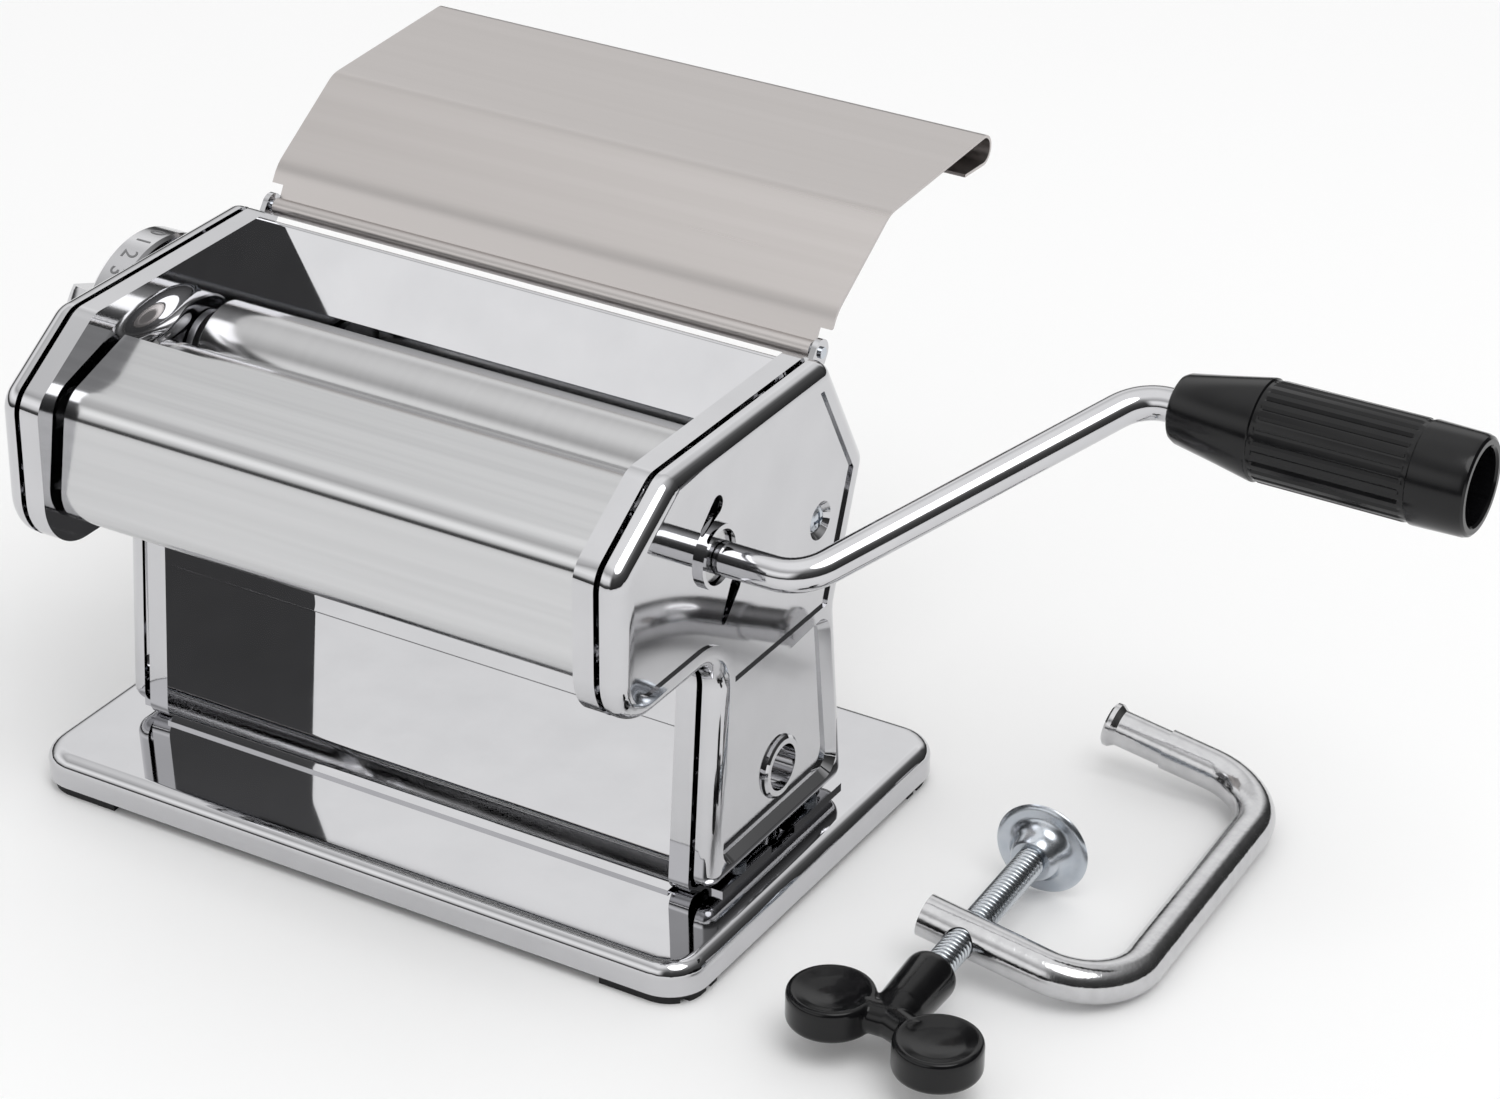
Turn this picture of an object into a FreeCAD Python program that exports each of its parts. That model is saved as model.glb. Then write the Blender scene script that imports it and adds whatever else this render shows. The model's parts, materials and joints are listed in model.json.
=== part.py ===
import FreeCAD, Part
import math
import os

# Sizes in millimetres. X runs along the rollers with the crank on +X, -Y is the front,
# Z is up and z = 0 is the table under the feet.

# Base and feet
base_side_margin = 10.0
base_depth = 132.0
base_rim_z = 3.0
base_top_z = 11.6
base_sheet = 1.0
base_corner_radius = 11.0
base_edge_radius = 4.0
foot_length = 24.0
foot_depth = 16.0
foot_margin = 1.5
foot_groove = 1.2

# Rollers, gears and adjuster
roller_length = 148.0
roller_radius = 13.4
roller_axis_z = 109.8
front_axis_y = -35.4
closed_gap = 0.6
eccentricity = 1.2
front_journal_radius = 6.5
rear_hub_radius = 6.0
rear_bore_radius = 5.0
eccentric_radius = 4.0
axle_journal_radius = 6.0
axle_tip_radius = 2.6
axle_square = 7.0
running_clearance = 0.04
gear_teeth = 14
gear_width = 5.0
knob_radius = 26.0
knob_depth = 18.3
knob_travel = 3.0
index_radius = 18.0
index_positions = 10
index_step_deg = 40.0 / 3.0
index_pin_radius = 1.5

# Side plates and covers
roller_end_gap = 3.3
plate_wall = 1.2
inner_flange = 5.7
cover_gap = 1.6
cover_depth = 5.4
cover_wall = 1.6
cover_recess = 0.7
cover_edge_radius = 4.4
leg_drop = 2.4
leg_margin = 6.5
leg_slope = 2.2
side_top_z = 138.5
side_belly_z = 80.5
side_front_y = -79.0
side_waist_y = 24.0
cover_foot_z = 14.6

# Sheet parts
sheet = 0.8
tie_bar_radius = 4.0
hinge_rod_radius = 1.5
tray_overhang = 1.0
tray_y = 25.0
tray_z = 136.0
clamp_hole_y = -0.8
clamp_hole_z = 32.9
clamp_hole_radius = 6.2

# Crank
crank_rod_radius = 4.25
crank_socket_radius = 4.3
crank_stand_off = 22.5
crank_reach_x = 49.5
crank_reach_y = 75.8
crank_reach_z = 28.3
crank_bend_radius = 13.0
grip_nose_gap = 9.4
grip_length = 76.6
grip_radius = 12.6
grip_bore_radius = 9.5

# Clamp, lying on the table beside the base
clamp_rod_radius = 5.5
clamp_leg = 105.5
clamp_upper_arm = 48.5
clamp_lower_arm = 51.0
clamp_bend_radius = 19.0
clamp_screw_inset = 39.5
clamp_screw_radius = 3.9
clamp_pad_radius = 12.5
clamp_pad_reach = 42.8
clamp_side_gap = 88.5
clamp_corner_y = -14.3
clamp_turn_deg = 2.4
clamp_tilt_deg = 10.5

# Sizes that follow from the ones above
roller_end = roller_length / 2
inner_face = roller_end + roller_end_gap
plate_outer = inner_face + plate_wall
flange_end = inner_face + inner_flange
cover_start = flange_end + cover_gap
cover_face = cover_start + cover_depth
cover_inside = cover_face - cover_wall
leg_face = cover_face - leg_drop
base_width = 2 * (cover_face + base_side_margin)
tray_half_width = flange_end + tray_overhang
crank_corner_x = cover_face + crank_stand_off
grip_nose_x = crank_corner_x + crank_reach_x + grip_nose_gap
clamp_corner_x = base_width / 2 + clamp_side_gap
far_out = 2 * base_width
gear_start = plate_outer + 1.5
gear_end = gear_start + gear_width
bracket_start = gear_end + 1.0
bracket_end = bracket_start + 1.2
pitch_distance = 2 * roller_radius + closed_gap
rear_axis_y = front_axis_y + pitch_distance
adjuster_y = rear_axis_y + eccentricity
rear_bar_y = 14.9
rear_bar_z = roller_axis_z - 13.9
front_bar_y = front_axis_y - 26.6
front_bar_z = roller_axis_z - 6.8
tray_hinge = (tray_y, tray_z)
tab_top_z = base_top_z + plate_wall

ORIGIN = FreeCAD.Vector(0, 0, 0)
AXIS_X = FreeCAD.Vector(1, 0, 0)
AXIS_Y = FreeCAD.Vector(0, 1, 0)
AXIS_Z = FreeCAD.Vector(0, 0, 1)
pieces = {}


def vec(x, y, z):
    return FreeCAD.Vector(x, y, z)


def rounded_wire(corners, closed=True):
    """Wire through (point, radius) corners with a tangent arc at each rounded corner."""
    count = len(corners)
    edges = []
    stations = []
    for i, (point, radius) in enumerate(corners):
        at_end = not closed and i in (0, count - 1)
        if at_end or radius <= 0:
            stations.append((point, None, point))
            continue
        before = (point - corners[i - 1][0]).normalize()
        after = (corners[(i + 1) % count][0] - point).normalize()
        turn = before.getAngle(after)
        reach = radius * math.tan(turn / 2)
        inward = (after - before).normalize()
        centre = point + inward * (radius / math.cos(turn / 2))
        stations.append((point - before * reach, centre - inward * radius, point + after * reach))
    for i in range(count):
        start, middle, end = stations[i]
        if middle is not None:
            edges.append(Part.Arc(start, middle, end).toShape())
        if i + 1 < count or closed:
            following = stations[(i + 1) % count][0]
            if (following - end).Length > 1e-6:
                edges.append(Part.LineSegment(end, following).toShape())
    return Part.Wire(edges)


def side_face(points):
    """Face in the plane x = 0 from (y, z, corner radius) points."""
    return Part.Face(rounded_wire([(vec(0, y, z), r) for y, z, r in points]))


def along_x(face, start, end):
    moved = face.copy()
    moved.translate(vec(start, 0, 0))
    return moved.extrude(vec(end - start, 0, 0))


def bent_sheet(points, thickness, start, end):
    """Sheet of constant thickness on the left of an open (y, z, radius) line."""
    line = [vec(0, y, z) for y, z, _ in points]
    far_side = []
    for i, (_, _, radius) in enumerate(points):
        normals = []
        if i > 0:
            d = (line[i] - line[i - 1]).normalize()
            normals.append(vec(0, -d.z, d.y))
        if i + 1 < len(points):
            d = (line[i + 1] - line[i]).normalize()
            normals.append(vec(0, -d.z, d.y))
        if len(normals) == 1:
            far_side.append((line[i] + normals[0] * thickness, 0.0))
            continue
        mitre = normals[0] + normals[1]
        scale = 2.0 / mitre.Length ** 2
        left_turn = normals[0].cross(normals[1]).x > 0
        far_radius = radius - thickness if left_turn else radius + thickness
        far_side.append((line[i] + mitre * (thickness * scale), far_radius if radius > 0 else 0.0))
    near_side = [(p, 0.0 if i in (0, len(points) - 1) else points[i][2]) for i, p in enumerate(line)]
    return along_x(Part.Face(rounded_wire(near_side + far_side[::-1])), start, end)


def rod(start, end, y, z, radius):
    return Part.makeCylinder(radius, end - start, vec(start, y, z), AXIS_X)


def tube(start, end, y, z, outer, inner):
    return rod(start, end, y, z, outer).cut(rod(start - 1, end + 1, y, z, inner))


def block(x0, x1, y0, y1, z0, z1):
    return Part.makeBox(x1 - x0, y1 - y0, z1 - z0, vec(x0, y0, z0))


def link(first, first_radius, second, second_radius, start, end):
    """Plate bounded by two circles in the side plane and their outer tangents."""
    dy = second[0] - first[0]
    dz = second[1] - first[1]
    base = math.atan2(dz, dy)
    open_angle = math.acos((first_radius - second_radius) / math.hypot(dy, dz))

    def rim(centre, radius, angle):
        return vec(0, centre[0] + radius * math.cos(angle), centre[1] + radius * math.sin(angle))

    a = rim(first, first_radius, base + open_angle)
    b = rim(second, second_radius, base + open_angle)
    c = rim(second, second_radius, base - open_angle)
    d = rim(first, first_radius, base - open_angle)
    edges = [
        Part.LineSegment(a, b).toShape(),
        Part.Arc(b, rim(second, second_radius, base), c).toShape(),
        Part.LineSegment(c, d).toShape(),
        Part.Arc(d, rim(first, first_radius, base + math.pi), a).toShape(),
    ]
    return along_x(Part.Face(Part.Wire(edges)), start, end)


def turned(profile, y=0.0, z=0.0):
    """Solid turned about an X axis through (y, z) from (x, radius) points."""
    wire = Part.makePolygon([vec(x, 0, r) for x, r in profile + profile[:1]])
    solid = Part.Face(wire).revolve(ORIGIN, AXIS_X, 360)
    solid.translate(vec(0, y, z))
    return solid


def mirrored(shape):
    return shape.mirror(ORIGIN, AXIS_X)


def group(shapes):
    return Part.makeCompound(shapes)


def side_outline(foot_z):
    return side_face([
        (-37.0, foot_z, 4.5),
        (-32.5, side_belly_z, 9.0),
        (side_front_y, side_belly_z, 15.0),
        (side_front_y, side_top_z - 15.5, 8.0),
        (side_front_y + 24.0, side_top_z, 8.0),
        (18.0, side_top_z, 5.0),
        (37.0, 105.0, 6.0),
        (side_waist_y, 69.0, 8.0),
        (30.0, foot_z, 4.5),
    ])


def upright_edges(shape):
    return [e for e in shape.Edges if abs(e.tangentAt(e.FirstParameter).z) > 0.99]


def edges_at_z(shape, height):
    return [e for e in shape.Edges if abs(e.BoundBox.ZMin - height) < 1e-6 and abs(e.BoundBox.ZMax - height) < 1e-6]


def edges_at_x(shape, place):
    return [e for e in shape.Edges if abs(e.BoundBox.XMin - place) < 1e-6 and abs(e.BoundBox.XMax - place) < 1e-6]


def soft_block(half_x, half_y, z0, z1, corner, top_edge):
    solid = block(-half_x, half_x, -half_y, half_y, z0, z1)
    solid = solid.makeFillet(corner, upright_edges(solid))
    return solid.makeFillet(top_edge, edges_at_z(solid, z1))


# Base, feet and rivets
half_width = base_width / 2
half_depth = base_depth / 2
tray_outer = soft_block(half_width, half_depth, base_rim_z, base_top_z, base_corner_radius, base_edge_radius)
tray_hollow = soft_block(
    half_width - base_sheet, half_depth - base_sheet, base_rim_z - 5, base_top_z - base_sheet,
    base_corner_radius - base_sheet, base_edge_radius - base_sheet)
tab_outer = cover_face - 0.5
rivet_x = (flange_end + tab_outer) / 2
rivet_ys = (-19.0, 16.5)
rivet_spots = [(sx * rivet_x, y) for sx in (-1, 1) for y in rivet_ys]
rivet_holes = group([Part.makeCylinder(1.6, 20, vec(x, y, 0)) for x, y in rivet_spots])
pieces["base_plate"] = tray_outer.cut(tray_hollow).cut(rivet_holes)

under_tray = base_top_z - base_sheet
foot_far_x = half_width - foot_margin
foot_far_y = half_depth - foot_margin
foot = block(foot_far_x - foot_length, foot_far_x, -foot_far_y, -foot_far_y + foot_depth, 0, 7.0)
outer_edge = [e for e in upright_edges(foot)
              if e.BoundBox.XMin > foot_far_x - 0.01 and e.BoundBox.YMax < -foot_far_y + 0.01]
foot = foot.makeFillet(base_corner_radius - foot_margin, outer_edge)
foot = foot.fuse(block(foot_far_x - foot_length, foot_far_x - 6, -foot_far_y + 6, -foot_far_y + foot_depth, 6, under_tray))
foot_mid_y = -foot_far_y + foot_depth / 2
for offset in (-4.0, 4.0):
    foot = foot.cut(block(0, base_width, foot_mid_y + offset - 1, foot_mid_y + offset + 1, -1, foot_groove))
foot = foot.removeSplitter()
across = foot.mirror(ORIGIN, AXIS_Y)
pieces["base_feet"] = group([foot, across, mirrored(foot), mirrored(across)])


def rivet(x, y):
    shank = Part.makeCylinder(1.6, tab_top_z - under_tray, vec(x, y, under_tray))
    top_head = Part.makeCylinder(2.6, 1.0, vec(x, y, tab_top_z))
    low_head = Part.makeCylinder(2.6, 1.0, vec(x, y, under_tray - 1.0))
    return shank.fuse([top_head, low_head]).removeSplitter()


pieces["base_rivets"] = group([rivet(x, y) for x, y in rivet_spots])

# Floor plate between the legs
pieces["floor_plate"] = bent_sheet([
    (-37.0, base_top_z, 0),
    (-33.0, base_top_z, 5.0),
    (-27.0, base_top_z + 2.6, 5.0),
    (28.0, base_top_z + 2.6, 1.6),
    (28.0, base_top_z, 0),
], sheet, -inner_face, inner_face)

# Inner plates
plate_face = side_outline(base_top_z)
plate_hollow = side_outline(base_top_z).makeOffset2D(-plate_wall)
plate = along_x(plate_face, inner_face, flange_end).cut(along_x(plate_hollow, plate_outer, flange_end + 1))
tabs = [block(plate_outer, tab_outer, y - 12.0, y + 12.0, base_top_z, tab_top_z) for y in rivet_ys]
lug_start = flange_end - 1.5
lug = link(tray_hinge, 3.4, (19.0, 128.0), 3.4, lug_start, flange_end)
plate = plate.fuse(tabs + [lug]).removeSplitter()
plate = plate.cut(rivet_holes)
plate = plate.cut(rod(0, flange_end + 1, tray_hinge[0], tray_hinge[1], hinge_rod_radius))
plate = plate.cut(rod(0, plate_outer + 1, front_axis_y, roller_axis_z, 9.0))
plate = plate.cut(rod(0, plate_outer + 1, rear_bar_y, rear_bar_z, 2.0))
plate = plate.cut(rod(0, plate_outer + 1, front_bar_y, front_bar_z, 2.0))
left_plate = mirrored(plate).cut(rod(-plate_outer - 1, 0, adjuster_y, roller_axis_z, axle_journal_radius + 2))
hub_hole_radius = rear_hub_radius + eccentricity + 0.5
bracket_posts = [(adjuster_y + 21.3 * math.cos(math.radians(a)), roller_axis_z + 21.3 * math.sin(math.radians(a)))
                 for a in (88, 20, -92)]
right_plate = plate.cut(rod(0, plate_outer + 1, adjuster_y, roller_axis_z, hub_hole_radius))
right_plate = right_plate.cut(rod(0, plate_outer + 1, clamp_hole_y, clamp_hole_z, clamp_hole_radius + 1.4))
for y, z in bracket_posts:
    right_plate = right_plate.cut(rod(0, plate_outer + 1, y, z, 1.5))
pieces["left_inner_plate"] = left_plate
pieces["right_inner_plate"] = right_plate

# Covers
cover_outline = side_outline(cover_foot_z)
shell = along_x(cover_outline, cover_start, cover_face)
shell = shell.makeFillet(cover_edge_radius, edges_at_x(shell, cover_face))
core = along_x(cover_outline.makeOffset2D(-cover_wall * 0.7), cover_start - 1, cover_inside)
core = core.makeFillet(cover_edge_radius - 1.0, edges_at_x(core, cover_inside))
panel = cover_outline.makeOffset2D(-6.5)
recess = along_x(panel, cover_face - cover_recess, cover_face + 1)
belly = recess.common(block(0, far_out, -far_out, far_out, side_belly_z - 9.5, far_out))


def leg_wire(place, spread):
    """Outline of the leg's sunk panel at an x place, spread outwards by a distance."""
    return rounded_wire([(vec(place, y, z), 4.0 + spread) for y, z in (
        (-37.0 + leg_margin - spread, cover_foot_z + leg_margin - spread),
        (-32.5 + leg_margin - spread, side_belly_z - 17.0 + spread),
        (side_waist_y - leg_margin + spread, side_belly_z - 14.0 + spread),
        (30.0 - leg_margin + spread, cover_foot_z + leg_margin - spread))])


leg = Part.makeLoft([leg_wire(leg_face, 0.0), leg_wire(cover_face + 0.5, leg_slope)], True, True)
leg_back = Part.makeLoft([leg_wire(leg_face - cover_wall, 1.0), leg_wire(cover_inside + 0.5, leg_slope + 1.2)], True, True)
cover = shell.cut(core.cut(leg_back)).cut(belly).cut(leg)
dimple_x = cover_face - 2.6
dimple = rod(dimple_x - 0.9, cover_face, rear_bar_y, rear_bar_z, 6.0)
dimple = dimple.cut(turned([(dimple_x, 0), (dimple_x, 3.6), (cover_face + 1, 6.4), (cover_face + 1, 0)],
                           rear_bar_y, rear_bar_z))
cover = cover.cut(rod(cover_inside - 1, cover_face + 1, rear_bar_y, rear_bar_z, 6.0)).fuse(
    dimple.common(rod(0, cover_face - cover_recess, rear_bar_y, rear_bar_z, 6.0)))
cover = cover.cut(rod(0, cover_face + 1, rear_bar_y, rear_bar_z, 2.0)).removeSplitter()
collar_radius = front_journal_radius + 1.7
right_cover = cover.cut(rod(cover_start, cover_face + 1, front_axis_y, roller_axis_z, collar_radius))
for wide, narrow in (((0.7, 13.0), (-5.6, 7.4 + 1.6)), ((9.4, -12.4), (4.4, -19.5))):
    first = (front_axis_y + wide[0], roller_axis_z + wide[1])
    second = (front_axis_y + narrow[0], roller_axis_z + narrow[1])
    right_cover = right_cover.cut(link(first, 2.6, second, 1.3, cover_start, cover_face + 1))
right_cover = right_cover.cut(
    rod(cover_start, cover_face + 1, clamp_hole_y, clamp_hole_z, clamp_hole_radius + 1.4))
pin_y = adjuster_y + index_radius * math.cos(math.radians(-60))
pin_z = roller_axis_z + index_radius * math.sin(math.radians(-60))
left_cover = mirrored(cover)
left_cover = left_cover.cut(rod(-cover_face - 1, -cover_start, adjuster_y, roller_axis_z, axle_journal_radius + 0.5))
left_cover = left_cover.cut(rod(-cover_face - 1, -cover_start, pin_y, pin_z, index_pin_radius))
pieces["left_cover"] = left_cover
pieces["right_cover"] = right_cover

# Posts and screws for the covers, tie bars
post_end = dimple_x - 0.9
post = rod(plate_outer, post_end, rear_bar_y, rear_bar_z, 4.0).fuse(
    rod(inner_face - 6, plate_outer, rear_bar_y, rear_bar_z, 2.0))
screw_hole = rod(post_end - 6, post_end + 1, rear_bar_y, rear_bar_z, 1.9)
post = post.cut(screw_hole).removeSplitter()
pieces["screw_posts"] = group([post, mirrored(post)])
screw_head = turned([(dimple_x, 0), (dimple_x, 3.4), (dimple_x + 0.9, 3.1), (dimple_x + 1.5, 1.8), (dimple_x + 1.6, 0)],
                    rear_bar_y, rear_bar_z)
cross = block(dimple_x + 0.7, cover_face, rear_bar_y - 2.2, rear_bar_y + 2.2, rear_bar_z - 0.45, rear_bar_z + 0.45)
cross = cross.fuse(block(dimple_x + 0.7, cover_face, rear_bar_y - 0.45, rear_bar_y + 0.45, rear_bar_z - 2.2, rear_bar_z + 2.2))
cover_screw = screw_head.fuse(rod(post_end - 5.5, dimple_x, rear_bar_y, rear_bar_z, 1.9)).cut(cross).removeSplitter()
pieces["cover_screws"] = group([cover_screw, mirrored(cover_screw)])
bars = []
for y, z in ((rear_bar_y, rear_bar_z), (front_bar_y, front_bar_z)):
    bar = rod(-inner_face, inner_face, y, z, tie_bar_radius)
    bars.append(bar.cut([rod(-inner_face - 1, -inner_face + 7, y, z, 2.0), rod(inner_face - 7, inner_face + 1, y, z, 2.0)]))
pieces["tie_bars"] = group(bars)
bar_screw = rod(plate_outer, plate_outer + 3, front_bar_y, front_bar_z, 4.0).fuse(
    rod(inner_face - 6, plate_outer, front_bar_y, front_bar_z, 2.0)).removeSplitter()
pieces["tie_bar_screws"] = group([bar_screw, mirrored(bar_screw)])

# Front cover, hung on the front tie bar by its folded ends
cover_line = [
    (-46.0, 129.6, 0),
    (-70.5, 121.8, 9.0),
    (-76.0, 88.0, 10.0),
    (-60.0, 86.5, 0),
]
front_half = inner_face - 1.8
front_cover = bent_sheet(cover_line, sheet, -front_half, front_half)
end_fold = bent_sheet(cover_line, 6.0, front_half - sheet, front_half)
hanger = link((front_bar_y, front_bar_z), 7.0, (front_bar_y - 8.0, front_bar_z - 1.0), 7.0, front_half - sheet, front_half)
hanger = hanger.common(along_x(side_face([(-46.0, 129.6, 0), (-70.5, 121.8, 9.0), (-76.0, 88.0, 10.0), (-60.0, 86.5, 0)]),
                               front_half - sheet, front_half))
end_plate = end_fold.fuse(hanger).cut(rod(0, inner_face, front_bar_y, front_bar_z, tie_bar_radius))
pieces["front_cover"] = front_cover.fuse([end_plate, mirrored(end_plate)]).removeSplitter()

# Rear hopper wall and rear cover
slope = vec(0, 19.0, 105.0 - side_top_z).normalize()
wall_top = vec(0, 18.6, side_top_z - 2.4)
fold_end = wall_top + slope * 7.0
pieces["rear_hopper_wall"] = bent_sheet([
    (fold_end.y, fold_end.z, 0),
    (wall_top.y, wall_top.z, 0.9),
    (8.0, 118.5, 0),
], sheet, -inner_face, inner_face)
inward = vec(0, slope.z, -slope.y)
cover_top = wall_top + inward * sheet + slope * 2.5
corner_reach = (cover_top.z - 105.6) / -slope.z
cover_corner = cover_top + slope * corner_reach
rear_low_z = side_belly_z + 4.0
rear_low_y = side_waist_y + (rear_low_z - 69.0) * (37.0 - side_waist_y) / 36.0 - sheet
pieces["rear_cover"] = bent_sheet([
    (rear_low_y, rear_low_z, 0),
    (cover_corner.y, cover_corner.z, 6.0),
    (cover_top.y, cover_top.z, 0),
], sheet, -inner_face, inner_face)

# Front roller and its gear
groove_x = roller_end - 4.5
front_body = turned([
    (-roller_end, 0), (-roller_end, roller_radius - 0.5), (-roller_end + 0.5, roller_radius),
    (-groove_x - 0.7, roller_radius), (-groove_x, roller_radius - 0.5), (-groove_x + 0.7, roller_radius),
    (groove_x - 0.7, roller_radius), (groove_x, roller_radius - 0.5), (groove_x + 0.7, roller_radius),
    (roller_end - 0.5, roller_radius), (roller_end, roller_radius - 0.5), (roller_end, 0)])
front_body.translate(vec(0, front_axis_y, roller_axis_z))
left_journal_end = -plate_outer - 1.7
drive_end = cover_face - 0.7
front_roller = front_body.fuse(rod(left_journal_end, drive_end, front_axis_y, roller_axis_z, front_journal_radius))
socket_floor = roller_end - 2.0
socket_round = socket_floor + 10.0
socket = rod(socket_round, drive_end + 1, front_axis_y, roller_axis_z, crank_socket_radius)
flat_socket = rod(socket_floor, socket_round, front_axis_y, roller_axis_z, crank_socket_radius)
socket = socket.fuse(flat_socket.common(block(0, far_out, -far_out, far_out, 0, roller_axis_z + 3.4)))
pieces["front_roller"] = front_roller.cut(socket).removeSplitter()

root_radius = pitch_distance / 2 - 2.35
tip_radius = pitch_distance / 2 + 1.76


def gear(centre_y, first_tooth, bore):
    step = 2 * math.pi / gear_teeth
    points = []
    for i in range(gear_teeth):
        mid = first_tooth + i * step
        for radius, half in ((root_radius, -0.13), (tip_radius, -0.035), (tip_radius, 0.035), (root_radius, 0.13)):
            points.append(vec(0, centre_y + radius * math.cos(mid + half), roller_axis_z + radius * math.sin(mid + half)))
    blank = along_x(Part.Face(Part.makePolygon(points + points[:1])), gear_start, gear_end)
    return blank.cut(rod(gear_start - 1, gear_end + 1, centre_y, roller_axis_z, bore))


pieces["front_gear"] = gear(front_axis_y, 0.0, front_journal_radius)
pieces["rear_gear"] = gear(rear_axis_y, math.pi + math.pi / gear_teeth, rear_hub_radius)

flange_start = roller_end + 1.0
bush = rod(flange_start, inner_face, front_axis_y, roller_axis_z, 10.5).fuse(
    rod(inner_face, gear_start - 0.4, front_axis_y, roller_axis_z, 9.0))
bush = bush.cut(rod(0, 200, front_axis_y, roller_axis_z, front_journal_radius + running_clearance)).removeSplitter()
pieces["front_roller_bushes"] = group([bush, mirrored(bush)])

# Rear roller on its bushes
hub_left = -inner_face + 0.5
rear_body = turned([
    (-roller_end, 0), (-roller_end, roller_radius - 0.5), (-roller_end + 0.5, roller_radius),
    (roller_end - 0.5, roller_radius), (roller_end, roller_radius - 0.5), (roller_end, 0)], rear_axis_y, roller_axis_z)
rear_roller = rear_body.fuse(rod(hub_left, gear_end, rear_axis_y, roller_axis_z, rear_hub_radius))
pieces["rear_roller"] = rear_roller.cut(rod(-100, 100, rear_axis_y, roller_axis_z, rear_bore_radius)).removeSplitter()
bush_bore = eccentric_radius + running_clearance
pieces["rear_roller_bushes"] = group([
    tube(hub_left, hub_left + 12, rear_axis_y, roller_axis_z, rear_bore_radius, bush_bore),
    tube(gear_end - 12, gear_end, rear_axis_y, roller_axis_z, rear_bore_radius, bush_bore)])

# Adjuster axle, its bush, bracket and clip
shoulder = -inner_face + 0.2
journal_end = -cover_face - 2.0
square_end = journal_end - 12.5
half_square = axle_square / 2
axle = rod(journal_end, shoulder, adjuster_y, roller_axis_z, axle_journal_radius)
axle = axle.fuse(rod(shoulder, bracket_start - 0.3, rear_axis_y, roller_axis_z, eccentric_radius))
axle = axle.fuse(rod(bracket_start - 0.3, bracket_end + 0.8, adjuster_y, roller_axis_z, axle_tip_radius))
axle = axle.fuse(block(square_end, journal_end, adjuster_y - half_square, adjuster_y + half_square,
                       roller_axis_z - half_square, roller_axis_z + half_square))
axle = axle.cut(rod(square_end - 1, square_end + 8, adjuster_y, roller_axis_z, 2.0))
clip_start = bracket_end + 0.1
axle = axle.cut(tube(clip_start, clip_start + 0.5, adjuster_y, roller_axis_z, axle_tip_radius + 1, axle_tip_radius - 0.6))
pieces["adjuster_axle"] = axle.removeSplitter()
pieces["axle_clip"] = tube(clip_start, clip_start + 0.5, adjuster_y, roller_axis_z, axle_tip_radius + 1.6, axle_tip_radius - 0.6)
axle_bush = rod(-plate_outer - 2, -plate_outer, adjuster_y, roller_axis_z, axle_journal_radius + 4).fuse(
    rod(-plate_outer, -inner_face, adjuster_y, roller_axis_z, axle_journal_radius + 2))
pieces["axle_bush"] = axle_bush.cut(
    rod(-120, 0, adjuster_y, roller_axis_z, axle_journal_radius + running_clearance)).removeSplitter()
centre = (adjuster_y, roller_axis_z)
bracket = rod(bracket_start, bracket_end, adjuster_y, roller_axis_z, 7.0)
for spot in bracket_posts:
    bracket = bracket.fuse([
        link(centre, 7.0, spot, 4.5, bracket_start, bracket_end),
        rod(plate_outer, bracket_start, spot[0], spot[1], 2.5),
        rod(inner_face, plate_outer, spot[0], spot[1], 1.5)])
pieces["gear_bracket"] = bracket.cut(
    rod(0, 200, adjuster_y, roller_axis_z, axle_tip_radius + running_clearance)).removeSplitter()

# Knob with its screw, spring and index pin
pin_stand = knob_travel - 0.2
knob_in = -cover_face - pin_stand - 0.4
knob_out = knob_in - knob_depth
rim_out = knob_in - 9.5
web_in = knob_in - 2.4
web_out = web_in - 4.0
knob = turned([
    (knob_in, 0), (knob_in, knob_radius - 0.8), (knob_in - 0.8, knob_radius), (rim_out + 1.0, knob_radius),
    (rim_out, knob_radius - 1.0), (knob_out + 2.5, knob_radius - 3.0), (knob_out, knob_radius - 5.0), (knob_out, 0)],
    adjuster_y, roller_axis_z)
for side in (-1, 1):
    scoop = block(knob_out - 1, rim_out, -40, 40, 9.0, 40) if side > 0 else block(knob_out - 1, rim_out, -40, 40, -40, -9.0)
    scoop.rotate(ORIGIN, AXIS_X, -20)
    scoop.translate(vec(0, adjuster_y, roller_axis_z))
    knob = knob.cut(scoop)
knob = knob.cut(rod(web_in, knob_in + 1, adjuster_y, roller_axis_z, axle_journal_radius + 0.5))
knob = knob.cut(rod(knob_out - 1, web_out, adjuster_y, roller_axis_z, 7.8))
loose_half = half_square + 0.1
knob = knob.cut(block(web_out - 1, web_in + 1, adjuster_y - loose_half, adjuster_y + loose_half,
                      roller_axis_z - loose_half, roller_axis_z + loose_half))
for i in range(index_positions):
    angle = math.radians(-60 + i * index_step_deg)
    knob = knob.cut(rod(knob_in - 3.6, knob_in + 1, adjuster_y + index_radius * math.cos(angle),
                        roller_axis_z + index_radius * math.sin(angle), index_pin_radius + 0.25))
pieces["adjuster_knob"] = knob.removeSplitter()
pieces["index_pin"] = rod(-cover_face - pin_stand, -cover_inside, pin_y, pin_z, index_pin_radius).fuse(
    rod(-cover_inside, -cover_inside + 1.2, pin_y, pin_z, 3.0)).removeSplitter()
knob_screw = rod(square_end - 2.5, square_end, adjuster_y, roller_axis_z, 7.0).fuse(
    rod(square_end, square_end + 7.5, adjuster_y, roller_axis_z, 2.0))
knob_screw = knob_screw.cut(block(square_end - 3, square_end - 1.5, adjuster_y - 8, adjuster_y + 8,
                                  roller_axis_z - 0.6, roller_axis_z + 0.6))
pieces["knob_screw"] = knob_screw.removeSplitter()
spring_leaf = 0.6
spring = turned([
    (square_end, 5.4), (square_end + spring_leaf, 5.4), (web_out, 7.2), (web_out - spring_leaf, 7.2)],
    adjuster_y, roller_axis_z)
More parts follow.
